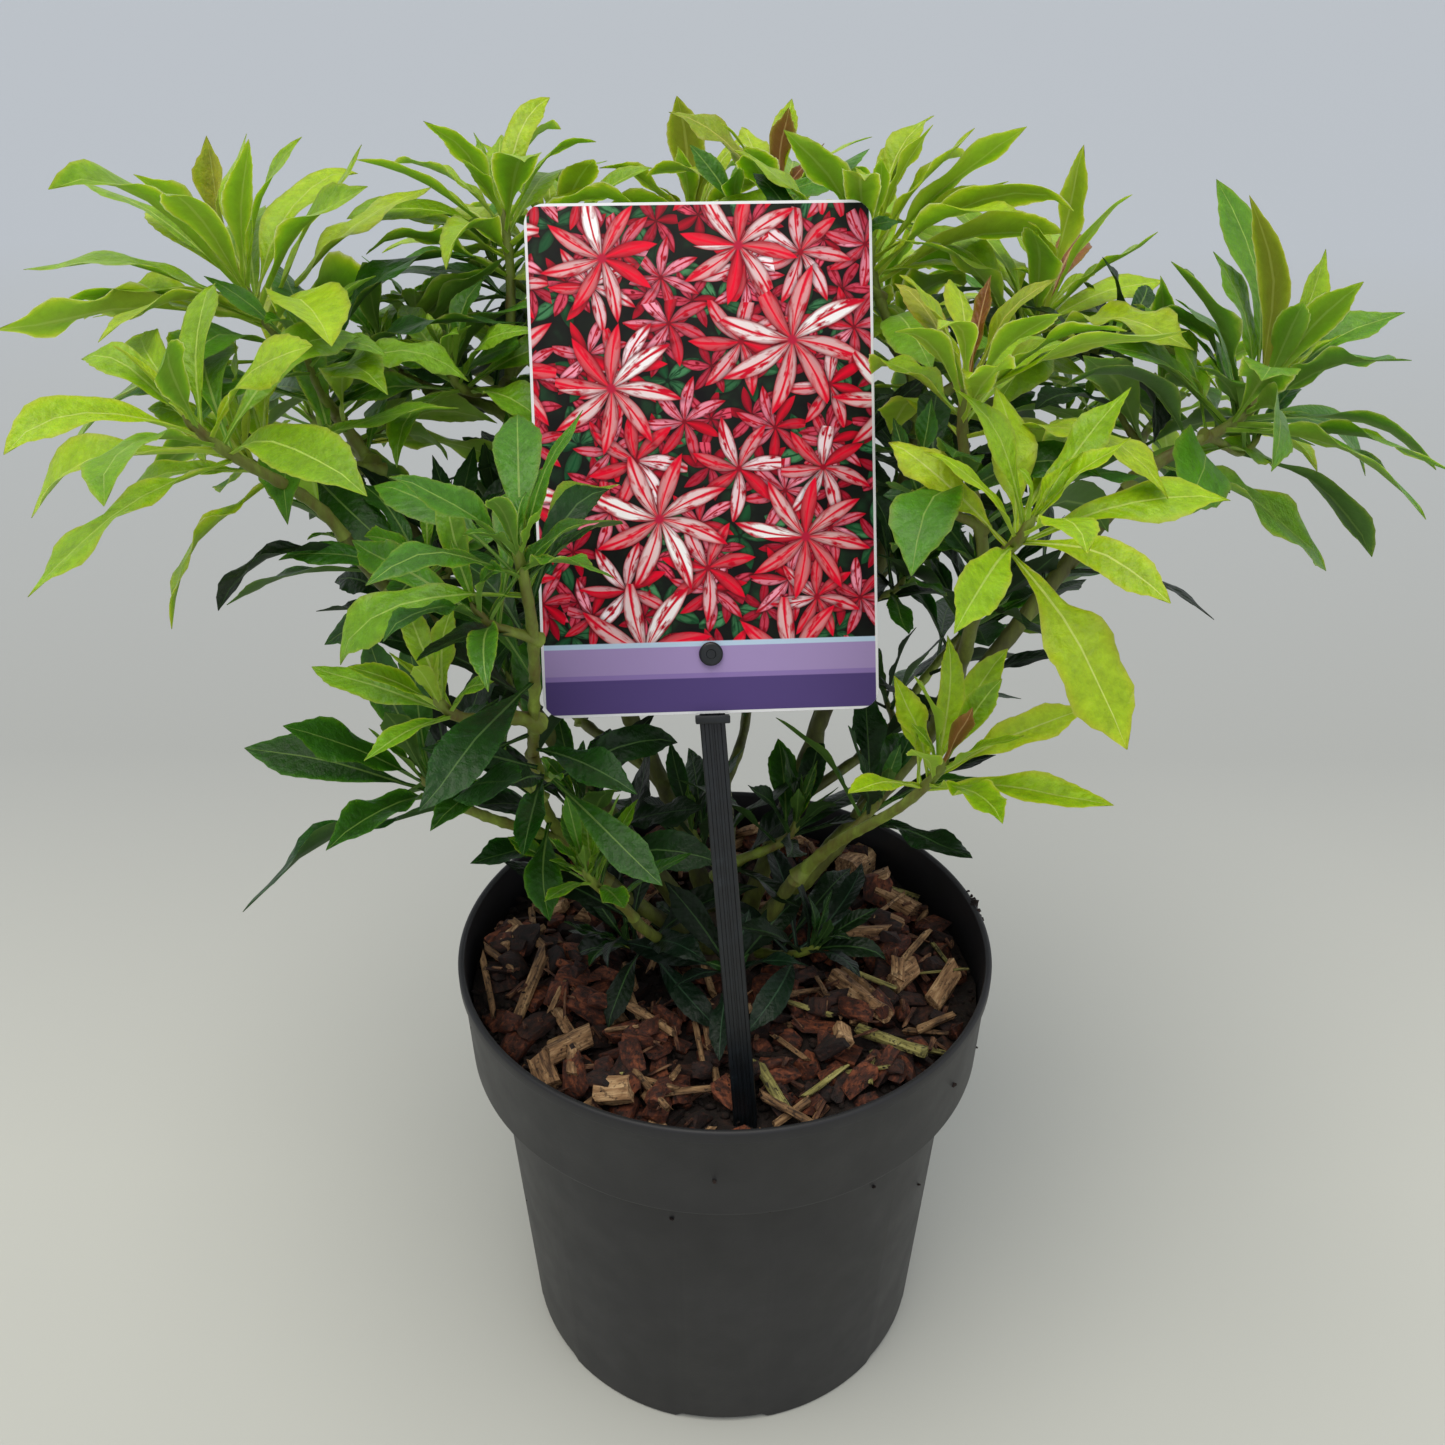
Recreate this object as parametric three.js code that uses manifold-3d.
import * as THREE from "three";
import { mergeVertices } from "three/addons/utils/BufferGeometryUtils.js";
import Module from "manifold-3d";

// A young pieris in a nursery pot, with a picture tag on a plastic stem.
// Millimetres, +Z up, the front is -Y, and the origin is the middle of the pot's underside.

const wasm = await Module();
wasm.setup();

// Sizes of the pot
const potHeight = 170.5;
const rimRadius = 95;
const collarFootRadius = 92.7;
const collarFootHeight = 131.9;
const bodyTopRadius = 84;
const footRadius = 76.8;
const potWall = 1.7;
const rimLip = 4.6;
const floorThickness = 2;
const potSegments = 44;
const grooveInner = 60;
const grooveOuter = 73.4;
const grooveDepth = 2.5;
const notchCount = 6;
const notchWidth = 34;

// Sizes of the potting mix and its bark mulch
const soilLevel = 155;
const soilRelief = 5;
const soilRings = [82, 70, 57, 44, 30, 15];
const chipCount = 38;
const clearance = 0.35;

// Sizes of the root crown
const crownX = 0;
const crownY = 10;
const crownFootRadius = 17;
const crownTopRadius = 9;
const crownHeight = 14;
const crownSides = 12;
const flatGround = 24;

// Sizes of the tag
const cardWidth = 101;
const cardHeight = 149;
const cardThickness = 0.9;
const cardCorner = 6;
const cardFoot = new THREE.Vector3(-4.3, -32, 281);
const cardUp = new THREE.Vector3(-0.0335, 0.41, 0.9115).normalize();
const cardTurn = 0.066;
const pegHeight = 18;
const pegRadius = 3.6;
const pegShaft = 2.2;
const stemFoot = new THREE.Vector3(6.8, -73, 156);
const stemWidth = 7.7;
const stemThickness = 2.2;
const stemPoint = new THREE.Vector3(6, -68, 98);

// Sizes of shoots and leaves
const boughSides = 6;
const boughSteps = 6;
const twigSteps = 4;
const twigFoot = 2.5;
const twigTip = 1.9;
const goldenAngle = 137.508;
const leafRoot = 0.8;
const broadLeaf = [
  [0.46, 0.82],
  [0.72, 0.98],
];
const plainLeaf = [[0.6, 1]];
const leafKeel = 0.012;
const smallest = 0.15;

const green = {
  lime: 0x9fc23c,
  fresh: 0x7da638,
  mid: 0x587f2f,
  dark: 0x33551f,
};

// Boughs: name, what each grows from and at which share of its length (or how far from the middle of
// the root crown), then its bearing and lean at the foot, the bearing, reach and height of its tip,
// its lean at the tip, and its two thicknesses.
// Bearings are degrees round the plant: 0 is the front, 90 the right, 180 the back.
const boughs = [
  ["bough_left", "root_crown", 8.5, -100, 34, -101.5, 110, 330, 26, 8.2, 5],
  ["bough_left_front", "bough_left", 0.6, -60, 30, -79, 113, 333, 24, 4.6, 3.9],
  ["bough_top_left", "root_crown", 8.5, -145, 24, -127, 88, 335, 14, 7.4, 4.8],
  ["bough_back_left", "bough_top_left", 0.5, -175, 24, -147, 120, 322, 18, 4.6, 3.8],
  ["bough_low_back_left", "bough_top_left", 0.3, -115, 50, -133, 88, 240, 34, 4.4, 3.6],
  ["bough_back", "root_crown", 8.5, 175, 24, -170, 104, 318, 14, 7.8, 4.6],
  ["bough_centre", "bough_back", 0.42, 120, 14, 174, 68, 335, 8, 4.8, 4],
  ["bough_low_back", "bough_back", 0.28, 140, 52, 174, 82, 232, 34, 4.2, 3.6],
  ["bough_top_right", "root_crown", 8.5, 130, 22, 128, 78, 340, 14, 7.4, 4.6],
  ["bough_back_right", "bough_top_right", 0.42, 160, 30, 142, 124, 318, 24, 4.8, 3.8],
  ["bough_low_back_right", "bough_top_right", 0.25, 105, 52, 128, 86, 238, 36, 4.2, 3.6],
  ["bough_right", "root_crown", 8.5, 85, 36, 91, 120, 340, 32, 8.4, 4.8],
  ["bough_front_right", "bough_right", 0.5, 20, 34, 59, 82, 326, 8, 4.8, 3.9],
  ["bough_inner_right", "bough_right", 0.3, 130, 24, 108, 80, 262, 12, 4.2, 3.6],
  ["bough_core", "root_crown", 1, 0, 4, -172, 12, 186, 6, 4.6, 4],
  ["bough_low_right", "root_crown", 8.5, 40, 46, 60, 27, 205, 30, 6, 4.6],
  ["bough_front_left", "root_crown", 8.5, -62, 48, -80, 41, 199, 40, 6.6, 4.8],
  ["bough_low_front", "root_crown", 8.5, -24, 52, -50, 40, 198, 26, 4.8, 3.6],
];

// Masses of foliage: name, the bough each grows from, the green of most of its leaves, and its shoots.
// A shoot has the share of the first shoot at which it forks, the bearing, reach and height of its tip,
// its lean, the length of its outer leaves, and how many leaves its whorl and its lower stem carry.
// A shoot straight from the root crown has the bearing of its foot instead of the share.
const masses = [
  ["foliage_left", "bough_left", "lime", [
    [0, -102, 150, 392, 30, 80, 13, 4],
    [0.1, -89, 142, 349, 50, 64, 9, 2],
    [0.15, -120, 172, 334, 42, 70, 10, 2],
  ]],
  ["foliage_left_front", "bough_left_front", "lime", [
    [0, -73, 147, 374, 34, 70, 12, 6],
  ]],
  ["foliage_top_left", "bough_top_left", "lime", [
    [0, -137, 109, 404, 18, 66, 11, 3],
    [0.1, -120, 134, 362, 36, 60, 9, 3],
    [0.2, -110, 92, 366, 16, 56, 9, 2],
  ]],
  ["foliage_back_left", "bough_back_left", "fresh", [
    [0, -151, 128, 392, 14, 64, 11, 2],
    [0.1, -140, 164, 350, 40, 68, 10, 3],
  ]],
  ["foliage_low_back_left", "bough_low_back_left", "dark", [
    [0, -134, 120, 273, 36, 62, 9, 2],
  ]],
  ["foliage_back", "bough_back", "fresh", [
    [0, -174, 132, 391, 12, 64, 11, 2],
    [0.1, 178, 160, 328, 46, 68, 10, 2],
  ]],
  ["foliage_centre", "bough_centre", "lime", [
    [0, 171, 98, 404, 10, 64, 10, 2],
    [0.1, -176, 58, 380, 4, 54, 8, 2],
  ]],
  ["foliage_low_back", "bough_low_back", "dark", [
    [0, 175, 114, 264, 34, 62, 9, 2],
  ]],
  ["foliage_top_right", "bough_top_right", "lime", [
    [0, 143, 74, 401, 10, 72, 12, 3],
    [0.1, 121, 119, 378, 30, 72, 12, 3],
  ]],
  ["foliage_back_right", "bough_back_right", "fresh", [
    [0, 157, 146, 364, 20, 66, 11, 2],
    [0.1, 134, 166, 348, 40, 68, 11, 2],
  ]],
  ["foliage_low_back_right", "bough_low_back_right", "dark", [
    [0, 127, 117, 268, 36, 62, 9, 2],
  ]],
  ["foliage_right", "bough_right", "lime", [
    [0, 94, 159, 366, 34, 74, 13, 3],
    [0.1, 117, 170, 342, 46, 68, 10, 2],
  ]],
  ["foliage_front_right", "bough_front_right", "lime", [
    [0, 65, 70, 380, 10, 64, 11, 3],
    [0.12, 45, 105, 360, 24, 62, 12, 4],
  ]],
  ["foliage_inner_right", "bough_inner_right", "dark", [
    [0, 106, 88, 292, 26, 64, 11, 2],
  ]],
  ["foliage_low_right", "bough_low_right", "mid", [
    [0, 43, 89, 284, 28, 56, 12, 5],
    [0.05, 76, 52, 237, 28, 54, 9, 0],
  ]],
  ["foliage_core", "bough_core", "dark", [
    [0, -143, 20, 205, 16, 52, 9, 0],
    [0.1, 108, 26, 214, 14, 52, 9, 0],
  ]],
  ["foliage_front_left", "bough_front_left", "mid", [
    [0, -33, 95, 354, 14, 60, 11, 3],
    [0.6, -43, 110, 312, 28, 42, 8, 0],
    [0.12, -62, 101, 266, 34, 72, 11, 3],
    [0.03, -92, 50, 224, 22, 56, 9, 0],
  ]],
  ["foliage_low_front", "bough_low_front", "mid", [
    [0, -50, 58, 225, 24, 38, 8, 0],
  ]],
  ["foliage_foot_left", "root_crown", "dark", [
    [-82, -72, 37, 176, 50, 54, 10, 0],
  ]],
  ["foliage_foot_front", "root_crown", "dark", [
    [8, 6, 24, 173, 54, 48, 8, 0],
  ]],
  ["foliage_foot_right", "root_crown", "dark", [
    [62, 68, 34, 175, 50, 54, 10, 0],
  ]],
];

const rad = THREE.MathUtils.degToRad;
const upright = new THREE.Vector3(0, 0, 1);

// A repeatable random source: the same seed always grows the same plant.
function seeded(seed) {
  let state = seed;
  return (low, high) => {
    state = (state * 16807) % 2147483647;
    return low + ((high - low) * state) / 2147483647;
  };
}

// The unit direction at a bearing round the plant and a lean from upright.
function heading(bearing, lean) {
  const across = Math.sin(rad(lean));
  return new THREE.Vector3(
    Math.sin(rad(bearing)) * across,
    -Math.cos(rad(bearing)) * across,
    Math.cos(rad(lean)),
  );
}

function place(bearing, reach, height) {
  return heading(bearing, 90).multiplyScalar(reach).setZ(height);
}

// Joins rings of points, each clockwise as seen from the first, into one closed solid.
function shell(rings) {
  const vertices = [];
  const faces = [];
  const first = rings.map((ring) => {
    const at = vertices.length / 3;
    ring.forEach((p) => vertices.push(p.x, p.y, p.z));
    return at;
  });
  const corner = (i, j) => first[i] + (rings[i].length > 1 ? j % rings[i].length : 0);
  for (let i = 0; i + 1 < rings.length; i++) {
    const sides = Math.max(rings[i].length, rings[i + 1].length);
    for (let j = 0; j < sides; j++) {
      if (rings[i].length > 1) faces.push(corner(i, j), corner(i, j + 1), corner(i + 1, j + 1));
      if (rings[i + 1].length > 1) faces.push(corner(i, j), corner(i + 1, j + 1), corner(i + 1, j));
    }
  }
  const last = rings.length - 1;
  for (let j = 1; j + 1 < rings[0].length; j++) {
    faces.push(first[0], first[0] + j + 1, first[0] + j);
  }
  for (let j = 1; j + 1 < rings[last].length; j++) {
    faces.push(first[last], first[last] + j, first[last] + j + 1);
  }
  return new wasm.Manifold(
    new wasm.Mesh({
      numProp: 3,
      vertProperties: new Float32Array(vertices),
      triVerts: new Uint32Array(faces),
    }),
  );
}

// A closed geometry as a solid that can be cut and joined.
function solidOf(geometry) {
  const plain = geometry.clone();
  plain.deleteAttribute("normal");
  plain.deleteAttribute("uv");
  const merged = mergeVertices(plain, 1e-4);
  return new wasm.Manifold(
    new wasm.Mesh({
      numProp: 3,
      vertProperties: merged.attributes.position.array,
      triVerts: new Uint32Array(merged.index.array),
    }),
  );
}

// A geometry turned about the upright axis from pairs of radius and height.
function turned(profile) {
  const points = profile.map(([radius, height]) => new THREE.Vector2(radius, height));
  return new THREE.LatheGeometry(points, potSegments).rotateX(Math.PI / 2);
}

// The largest closed body of a solid, without loose crumbs and sealed pockets.
function biggest(solid) {
  return solid.decompose().sort((a, b) => b.volume() - a.volume())[0];
}

function section(point, side, up, outline) {
  return outline.map(([s, u]) => point.clone().addScaledVector(side, s).addScaledVector(up, u));
}

// Evenly spaced stations of a tapering limb: points on its curve, its headings there and its radii.
function stations(curve, steps, radiusAt) {
  return Array.from({ length: steps + 1 }, (_, i) => ({
    point: curve.getPoint(i / steps),
    along: curve.getTangent(i / steps),
    radius: radiusAt(i / steps),
  }));
}

// A tapering tube through its stations, the rings carried along without twisting.
function tube(path, sides) {
  let side = new THREE.Vector3(1, 0, 0);
  const rings = path.map(({ point, along, radius }) => {
    side = side.clone().addScaledVector(along, -side.dot(along)).normalize();
    const up = side.clone().cross(along);
    return Array.from({ length: sides }, (_, j) => {
      const angle = (-2 * Math.PI * j) / sides;
      return point
        .clone()
        .addScaledVector(side, radius * Math.cos(angle))
        .addScaledVector(up, radius * Math.sin(angle));
    });
  });
  return shell(rings);
}

// Pot: a thin tapering body with a wide collar, a rolled lip and notches in its foot ring
function makePot() {
  const innerFoot = footRadius - potWall;
  const innerTop = bodyTopRadius - potWall;
  const collarInner = collarFootRadius - potWall;
  const profile = [
    [0, 0],
    [grooveInner, 0],
    [grooveInner + 1.5, grooveDepth],
    [grooveOuter - 0.8, grooveDepth],
    [grooveOuter, 0],
    [footRadius - 1, 0],
    [footRadius, 1.2],
    [bodyTopRadius, collarFootHeight - 1],
    [collarFootRadius, collarFootHeight],
    [rimRadius - 0.9, potHeight - rimLip],
    [rimRadius, potHeight - rimLip + 0.8],
    [rimRadius, potHeight - 0.7],
    [rimRadius - 0.6, potHeight],
    [rimRadius - 1.8, potHeight],
    [rimRadius - 2.4, potHeight - 0.8],
    [collarInner, collarFootHeight + potWall],
    [innerTop, collarFootHeight + potWall - 1],
    [innerFoot, grooveDepth + floorThickness],
    [grooveInner + 1, grooveDepth + floorThickness],
    [grooveInner - 1, floorThickness],
    [0, floorThickness],
  ];
  let pot = solidOf(turned(profile));
  for (let i = 0; i < notchCount; i++) {
    const notch = new THREE.BoxGeometry(notchWidth, 9, 2 * (grooveDepth - 0.1))
      .translate(0, -footRadius + 2, 0)
      .rotateZ((2 * Math.PI * i) / notchCount);
    pot = pot.subtract(solidOf(notch));
  }
  return pot;
}

// Height of the mulch: low waves over the pot, level round the root crown.
function mulchHeight(x, y) {
  const wave =
    Math.sin(x / 13 + 1.2) * Math.cos(y / 16 + 0.4) * 0.5 +
    Math.sin(x / 7.3 - y / 8.9) * 0.3 +
    Math.cos(x / 29 + y / 37) * 0.4 -
    x / 260;
  const away = Math.hypot(x - crownX, y - crownY);
  return soilLevel + soilRelief * wave * THREE.MathUtils.smoothstep(away, flatGround, flatGround + 14);
}

// Potting mix: fills the pot up to the mulch, with bark chips and splinters lying on it
function makeMulch(stemHole) {
  const innerFoot = footRadius - potWall - clearance;
  const innerTop = bodyTopRadius - potWall - clearance;
  const collarInner = collarFootRadius - potWall - clearance;
  const stepHeight = collarFootHeight + potWall;
  const filling = turned([
    [0, floorThickness + clearance],
    [grooveInner - 1.2, floorThickness + clearance],
    [grooveInner + 0.8, grooveDepth + floorThickness + clearance],
    [innerFoot, grooveDepth + floorThickness + clearance],
    [innerTop, stepHeight - 0.6],
    [collarInner, stepHeight + 0.5],
    [collarInner + 0.5, soilLevel],
    ...soilRings.map((radius) => [radius, soilLevel]),
    [0, soilLevel],
  ]);
  const points = filling.attributes.position;
  for (let i = 0; i < points.count; i++) {
    if (points.getZ(i) > soilLevel - 1) points.setZ(i, mulchHeight(points.getX(i), points.getY(i)));
  }
  let mulch = solidOf(filling);
  const random = seeded(4127);
  const laid = [];
  for (let tries = 0; laid.length < chipCount && tries < 4000; tries++) {
    const length = random(9, 25);
    const width = random(4.5, 9.5) * (random(0, 1) < 0.3 ? 0.45 : 1);
    const thick = random(2.2, 4.2);
    const turn = random(0, 180);
    const tilt = random(-11, 11);
    const roll = random(-14, 14);
    const spot = place(random(0, 360), 84 * Math.sqrt(random(0.01, 1)), 0);
    const lift = random(-0.2, 0.9);
    const skew = [random(0.55, 1), random(0.55, 1), random(0.5, 1)];
    const reach = length / 2;
    const fromCrown = Math.hypot(spot.x - crownX, spot.y - crownY);
    const free =
      fromCrown > crownFootRadius + reach + 3 &&
      spot.length() + reach < 88 &&
      Math.hypot(spot.x - stemFoot.x, spot.y - stemFoot.y) > reach + 7 &&
      laid.every(([other, r]) => other.distanceTo(spot) > (r + reach) * 0.82);
    if (!free) continue;
    laid.push([spot.clone(), reach]);
    const chip = new THREE.BoxGeometry(length, width, 2 * thick);
    const corners = chip.attributes.position;
    for (let i = 0; i < corners.count; i++) {
      const end = corners.getX(i) > 0 ? skew[0] : skew[1];
      corners.setY(i, corners.getY(i) * end);
      corners.setZ(i, corners.getZ(i) * (corners.getX(i) * corners.getY(i) > 0 ? skew[2] : 1));
    }
    chip
      .rotateX(rad(roll))
      .rotateY(rad(tilt))
      .rotateZ(rad(turn))
      .translate(spot.x, spot.y, mulchHeight(spot.x, spot.y) + lift);
    mulch = mulch.add(solidOf(chip));
  }
  return biggest(mulch.subtract(stemHole).asOriginal().simplify(smallest));
}

// Root crown: a low woody stool with a flat cut at the level of the mulch
function makeCrown(swell) {
  const levels = [
    [soilLevel + clearance - swell, crownFootRadius],
    [soilLevel + crownHeight * 0.45, crownFootRadius * 0.86],
    [soilLevel + crownHeight * 0.9, crownTopRadius],
  ];
  const rings = levels.map(([height, radius], i) =>
    Array.from({ length: crownSides }, (_, j) => {
      const turn = (360 * j) / crownSides;
      const lump = 1 + 0.1 * Math.sin(rad(turn * 3 + i * 40)) + 0.05 * Math.cos(rad(turn * 5));
      return place(turn, radius * lump + swell, height + (i === 2 ? swell * 0.6 : 0)).add(
        new THREE.Vector3(crownX, crownY, 0),
      );
    }),
  );
  return shell([...rings, [new THREE.Vector3(crownX, crownY, soilLevel + crownHeight + swell)]]);
}

// Tag: a picture card with round corners, peg-fastened to a grooved stem pushed into the mulch
const cardSide = new THREE.Vector3(Math.cos(cardTurn), Math.sin(cardTurn), 0);
cardSide.addScaledVector(cardUp, -cardSide.dot(cardUp)).normalize();
const cardFront = cardUp.clone().cross(cardSide).negate();

const cardPlace = new THREE.Matrix4().makeBasis(cardSide, cardUp, cardFront).setPosition(cardFoot);

function cardPoint(across, up, forward) {
  return new THREE.Vector3(across, up, forward).applyMatrix4(cardPlace);
}

function makeCard() {
  const across = cardWidth / 2 - cardCorner;
  const outline = new THREE.Shape();
  outline.absarc(across, cardHeight - cardCorner, cardCorner, 0, Math.PI / 2);
  outline.absarc(-across, cardHeight - cardCorner, cardCorner, Math.PI / 2, Math.PI);
  outline.absarc(-across, cardCorner, cardCorner, Math.PI, 1.5 * Math.PI);
  outline.absarc(across, cardCorner, cardCorner, 1.5 * Math.PI, 2 * Math.PI);
  const card = new THREE.ExtrudeGeometry(outline, {
    depth: cardThickness,
    bevelEnabled: false,
    curveSegments: 4,
  });
  card.translate(0, 0, -cardThickness / 2).applyMatrix4(cardPlace);
  return solidOf(card).subtract(peg(pegShaft + clearance, -3, 3));
}

function peg(radius, from, to) {
  const round = new THREE.CylinderGeometry(radius, radius, to - from, 10)
    .rotateX(Math.PI / 2)
    .translate(0, pegHeight, (from + to) / 2);
  return solidOf(round.applyMatrix4(cardPlace));
}

function makeTagStem(swell) {
  const half = stemWidth / 2 + swell;
  const deep = stemThickness / 2 + swell;
  const groove = swell ? 0 : 0.6;
  const outline = [
    [-half, deep],
    [-half + 2.1, deep],
    [-half + 2.6, deep - groove],
    [half - 2.6, deep - groove],
    [half - 2.1, deep],
    [half, deep],
    [half, -deep],
    [-half, -deep],
  ];
  const behind = -cardThickness / 2 - clearance - stemThickness / 2;
  const cardBottom = cardPoint(0, -3, behind);
  const shoulder = stemFoot.clone().lerp(stemPoint, 0.8);
  const tip = outline.map(([s, u]) => [s * 0.3, u * 0.7]);
  const frontOf = (low, high) => high.clone().sub(low).cross(cardSide).negate().normalize();
  const rings = [
    section(stemPoint.clone().setZ(stemPoint.z - swell), cardSide, frontOf(stemPoint, stemFoot), tip),
    section(shoulder, cardSide, frontOf(stemPoint, stemFoot), outline),
    section(stemFoot, cardSide, frontOf(stemPoint, cardBottom), outline),
    section(cardBottom, cardSide, frontOf(stemFoot, cardBottom), outline),
    section(cardPoint(0, pegHeight + 7, behind), cardSide, cardFront, outline),
  ];
  if (swell) return shell(rings);
  const ledge = new THREE.BoxGeometry(10.4, 2.4, 2.6 - behind).translate(0, -1.7, (2.6 + behind) / 2);
  return shell(rings)
    .add(solidOf(ledge.applyMatrix4(cardPlace)))
    .add(peg(pegShaft, behind, cardThickness / 2 + 1))
    .add(peg(pegRadius, cardThickness / 2 + clearance, cardThickness / 2 + clearance + 1.4));
}

// Boughs: each a tapering limb that starts clear of what it grows from
function limbCurve(foot, footHeading, end, endHeading) {
  const pull = foot.distanceTo(end) * 0.36;
  return new THREE.CubicBezierCurve3(
    foot,
    foot.clone().addScaledVector(footHeading, pull),
    end.clone().addScaledVector(endHeading, -pull),
    end,
  );
}

function crownStart(bearing, away, height) {
  return place(bearing, away, height).add(new THREE.Vector3(crownX, crownY, 0));
}

const grown = new Map();

function makeBough([name, parent, share, footBearing, footLean, bearing, reach, height, lean, thick, thin]) {
  const stock = grown.get(parent);
  const foot = stock ? stock.curve.getPoint(share) : crownStart(footBearing, share, soilLevel + 7);
  const tipHeading = heading(bearing, lean);
  const curve = limbCurve(foot, heading(footBearing, footLean), place(bearing, reach, height), tipHeading);
  const bark = (swell) =>
    tube(
      stations(curve, boughSteps, (t) => (thick + (thin - thick) * Math.sqrt(t)) / 2 + swell * 1.3),
      boughSides,
    );
  const whole = bark(0);
  const cutter = stock ? stock.swollen : makeCrown(clearance * 1.4);
  grown.set(name, {
    curve,
    tipHeading,
    tipRadius: thin / 2,
    solid: biggest(whole.subtract(cutter)),
    swollen: bark(clearance),
  });
}

// Leaves: a narrow root sunk in the twig, one or two broad sections and a tip along an arched midrib
function midribAt(leaf, share) {
  const angle = leaf.rise + leaf.bend * share;
  const along = leaf.axis.clone().multiplyScalar(Math.cos(angle)).addScaledVector(leaf.out, Math.sin(angle));
  const flatUp = leaf.axis.clone().multiplyScalar(Math.sin(angle)).addScaledVector(leaf.out, -Math.cos(angle));
  const flatSide = along.clone().cross(flatUp);
  const arc = leaf.length / leaf.bend;
  const point = leaf.root
    .clone()
    .addScaledVector(leaf.axis, arc * (Math.sin(angle) - Math.sin(leaf.rise)))
    .addScaledVector(leaf.out, arc * (Math.cos(leaf.rise) - Math.cos(angle)));
  const up = flatUp.clone().multiplyScalar(Math.cos(leaf.roll)).addScaledVector(flatSide, Math.sin(leaf.roll));
  const side = flatSide.clone().multiplyScalar(Math.cos(leaf.roll)).addScaledVector(flatUp, -Math.sin(leaf.roll));
  return { point, up, side, along };
}

function leafSolid(leaf) {
  const depth = leaf.length * leafKeel;
  const ringOf = (share, half, keel, edge) => {
    const { point, side, up } = midribAt(leaf, share);
    return section(point, side, up, [
      [-half, edge],
      [half, edge],
      [0, -keel],
    ]);
  };
  const half = leaf.width / 2;
  return shell([
    ringOf(0, leafRoot, leafRoot * 0.9, 0.3),
    ...leaf.blade.map(([share, wide]) => ringOf(share, half * wide, depth, half * 0.1)),
    [midribAt(leaf, 1).point],
  ]);
}

// The room a leaf needs, from a share of its length onwards and with a margin all round.
function leafRoom(leaf, from, margin) {
  const half = leaf.width / 2;
  const depth = leaf.length * leafKeel;
  const rows = [
    [from, Math.max(leafRoot, (half * from) / leaf.blade[0][0])],
    ...leaf.blade.map(([share, wide]) => [share, half * wide]),
    [1, 0.5],
  ];
  return shell(
    rows.map(([share, wide]) => {
      const { point, side, up, along } = midribAt(leaf, share);
      if (share === 1) point.addScaledVector(along, margin);
      const s = wide + margin;
      const top = half * 0.1 + margin;
      const bottom = -depth - margin;
      return section(point, side, up, [
        [-s, top],
        [s, top],
        [s, bottom],
        [-s, bottom],
      ]);
    }),
  );
}

const taken = [];

function take(owner, solid) {
  taken.push({ owner, solid, bounds: solid.boundingBox() });
}

function meets(solid, wanted) {
  const { min, max } = solid.boundingBox();
  return taken.some(
    (t) =>
      wanted(t) &&
      [0, 1, 2].every((i) => t.bounds.min[i] < max[i] && t.bounds.max[i] > min[i]) &&
      t.solid.intersect(solid).volume() > 1e-5,
  );
}

// Leaves of one shoot, numbered from the youngest at its tip down to the oldest on its stem.
function shootLeaves(twig, random) {
  const leaves = [];
  const start = random(0, 360);
  for (let k = 0; k < twig.whorl + twig.lower; k++) {
    const inWhorl = k < twig.whorl;
    const age = inWhorl ? k / (twig.whorl - 1) : 1;
    const below = inWhorl ? 1.5 + 1.25 * k : 26 + (34 * (k - twig.whorl)) / Math.max(twig.lower, 1);
    const turn = start + goldenAngle * k + random(-7, 7);
    const rise = inWhorl ? 18 + 51 * Math.pow(age, 0.8) : 72;
    const grownLength = inWhorl ? 0.56 + 0.44 * Math.pow(age, 0.7) : 0.94;
    const length = twig.size * grownLength * random(0.92, 1.06);
    const leaf = {
      below,
      turn,
      blade: inWhorl && age > 0.25 ? broadLeaf : plainLeaf,
      rise: rad(rise + random(-7, 7)),
      bend: rad(random(16, 34) + 12 * age),
      length,
      width: length * random(0.26, 0.31),
      roll: rad(random(-14, 14)),
    };
    if (below < twig.length - 4) leaves.push(leaf);
  }
  return leaves;
}

function seatLeaf(leaf, twig) {
  const share = 1 - leaf.below / twig.length;
  const axis = twig.curve.getTangentAt(share).add(upright).normalize();
  const level = new THREE.Vector3(1, 0, 0).cross(axis).normalize();
  const other = axis.clone().cross(level);
  const turn = rad(leaf.turn);
  const out = level.multiplyScalar(Math.cos(turn)).addScaledVector(other, Math.sin(turn));
  return { ...leaf, root: twig.curve.getPointAt(share), axis, out };
}

// What a leaf tries when its place is taken: a turn, a steeper or flatter stand, then a shorter blade.
const trials = [
  [0, 0, 1],
  [9, 0, 1],
  [-9, 0, 1],
  [0, -9, 0.95],
  [0, 9, 0.95],
  [13, -8, 0.86],
  [-13, 8, 0.86],
  [0, -14, 0.76],
  [16, 6, 0.7],
  [-16, -6, 0.62],
];

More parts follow.
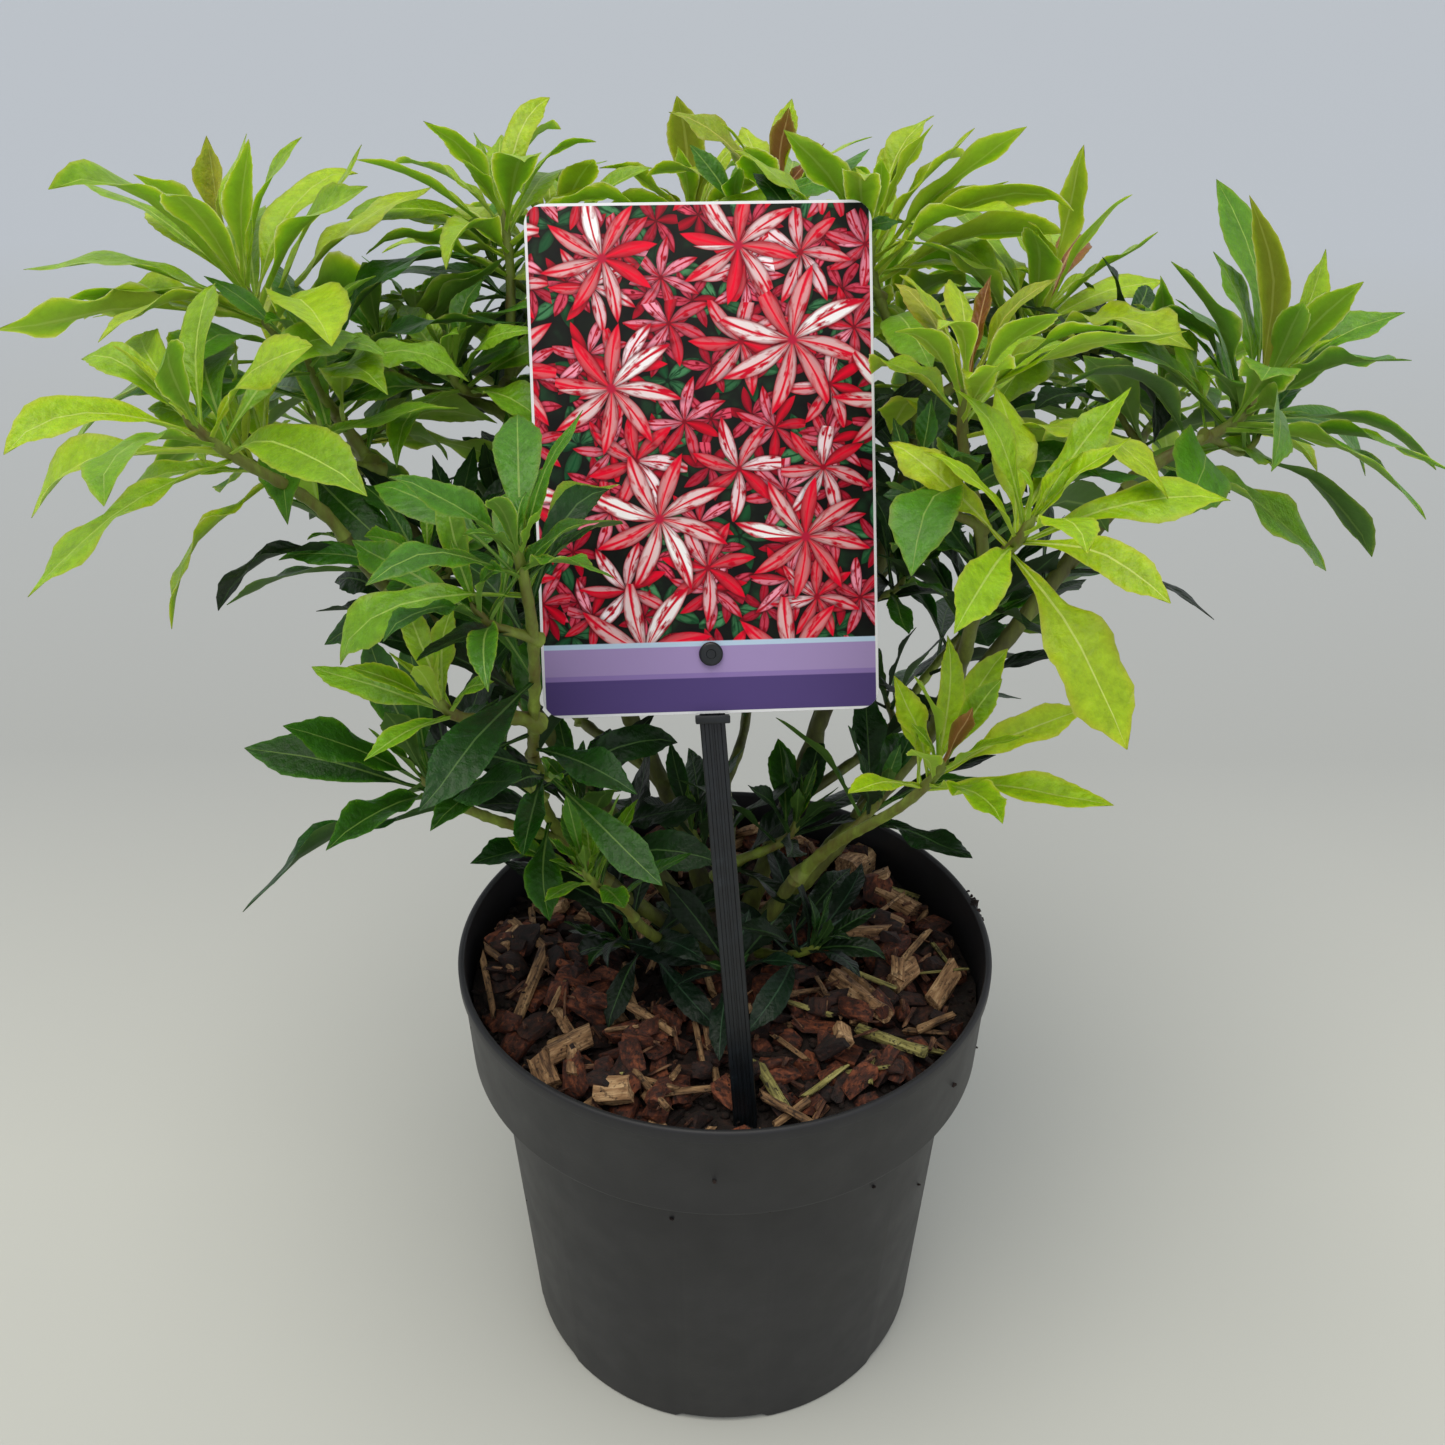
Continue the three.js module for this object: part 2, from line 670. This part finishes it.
function growMass([name, from, , shoots], index) {
  const random = seeded(7919 + 104729 * (index + 1));
  const stock = grown.get(from);
  const twigs = [];
  shoots.forEach(([share, bearing, reach, height, lean, size, whorl, lower], i) => {
    const tip = place(bearing, reach, height);
    const tipHeading = heading(bearing, lean);
    let foot;
    let footHeading;
    if (i > 0) {
      foot = twigs[0].curve.getPointAt(share);
      const toTip = tip.clone().sub(foot).normalize();
      footHeading = twigs[0].curve.getTangentAt(share).multiplyScalar(0.3).add(toTip).normalize();
    } else if (stock) {
      foot = stock.curve.getPoint(1).addScaledVector(stock.tipHeading, clearance);
      footHeading = stock.tipHeading;
    } else {
      foot = crownStart(share, crownTopRadius, soilLevel + 3.2);
      footHeading = heading(share, 78);
    }
    const curve = limbCurve(foot, footHeading, tip, tipHeading);
    const thick = i === 0 && stock ? stock.tipRadius : twigFoot;
    const path = stations(curve, twigSteps, (t) => thick + (twigTip - thick) * t);
    path.push({ point: tip.clone().addScaledVector(tipHeading, 3), along: tipHeading, radius: 0.5 });
    let solid = tube(path, 3);
    if (!stock) solid = biggest(solid.subtract(makeCrown(clearance * 1.4)));
    twigs.push({ curve, solid, size, whorl, lower, length: curve.getLength() });
    take(name + i, solid);
  });
  return { name, twigs, random, solids: twigs.map((twig) => twig.solid) };
}

// Leaves are turned aside where they would hide the middle of the card's face.
function hidesCard(leaf) {
  return [0.6, 1].some((share) => {
    const { point } = midribAt(leaf, share);
    const ahead = point.clone().sub(cardFoot);
    const across = ahead.dot(cardSide);
    return ahead.dot(cardFront) > 0 && ahead.dot(cardUp) > -12 && across > -24 && across < 45;
  });
}

function growLeaves(mass) {
  mass.twigs.forEach((twig, i) => {
    shootLeaves(twig, mass.random).forEach((leaf) => {
      const own = mass.name;
      for (const [turn, rise, share] of trials) {
        const tried = seatLeaf(
          {
            ...leaf,
            turn: leaf.turn + turn,
            rise: leaf.rise + rad(rise),
            length: leaf.length * share,
            width: leaf.width * (0.3 + 0.7 * share),
          },
          twig,
        );
        if (hidesCard(tried)) continue;
        if (meets(leafRoom(tried, 0.02, clearance), (t) => !t.owner.startsWith(own))) continue;
        if (meets(leafRoom(tried, 0.3, 0), (t) => t.owner.startsWith(own) && t.owner !== own + i)) continue;
        const solid = leafSolid(tried);
        if (meets(solid, (t) => !t.owner.startsWith(own))) continue;
        take(own + "_leaf", solid);
        mass.solids.push(solid);
        break;
      }
    });
  });
}

const stemHole = makeTagStem(clearance);
const solids = new Map();
solids.set("pot", makePot());
solids.set("mulch", makeMulch(stemHole));
solids.set("root_crown", makeCrown(0));
solids.set("tag_stem", makeTagStem(0));
solids.set("tag_card", makeCard());
boughs.forEach(makeBough);
grown.forEach(({ solid }, name) => solids.set(name, solid));
solids.forEach((solid, name) => take(name + ".", solid));

const crowns = masses.map(growMass);
crowns.forEach(growLeaves);
crowns.forEach(({ name, solids: pieces }) => {
  solids.set(name, biggest(wasm.Manifold.union(pieces).asOriginal().simplify(smallest)));
});

const coats = {
  pot: [0x38383a, 0.55],
  mulch: [0x4a3020, 0.95],
  root_crown: [0x5a4630, 0.9],
  tag_stem: [0x14161c, 0.35],
  tag_card: [0xb8354a, 0.3],
};
const massGreen = new Map(masses.map(([name, , tone]) => [name, green[tone]]));

const container = new THREE.Group();
const plant = new THREE.Group();
const tag = new THREE.Group();
solids.forEach((solid, name) => {
  const { vertProperties, triVerts, numProp } = solid.getMesh();
  const geometry = new THREE.BufferGeometry();
  const positions = new Float32Array((vertProperties.length / numProp) * 3);
  for (let i = 0; i < positions.length / 3; i++) {
    positions.set(vertProperties.subarray(i * numProp, i * numProp + 3), i * 3);
  }
  geometry.setAttribute("position", new THREE.BufferAttribute(positions, 3));
  geometry.setIndex(new THREE.BufferAttribute(triVerts, 1));
  const [color, roughness] = coats[name] ?? (massGreen.has(name) ? [massGreen.get(name), 0.45] : [0x6b6a35, 0.75]);
  const mesh = new THREE.Mesh(
    mergeVertices(geometry, 1e-4),
    new THREE.MeshStandardMaterial({ color, roughness, metalness: 0 }),
  );
  mesh.name = name;
  const holder = name.startsWith("tag") ? tag : name === "pot" || name === "mulch" ? container : plant;
  holder.add(mesh);
});

const group = new THREE.Group();
group.add(container, plant, tag);

export default group;
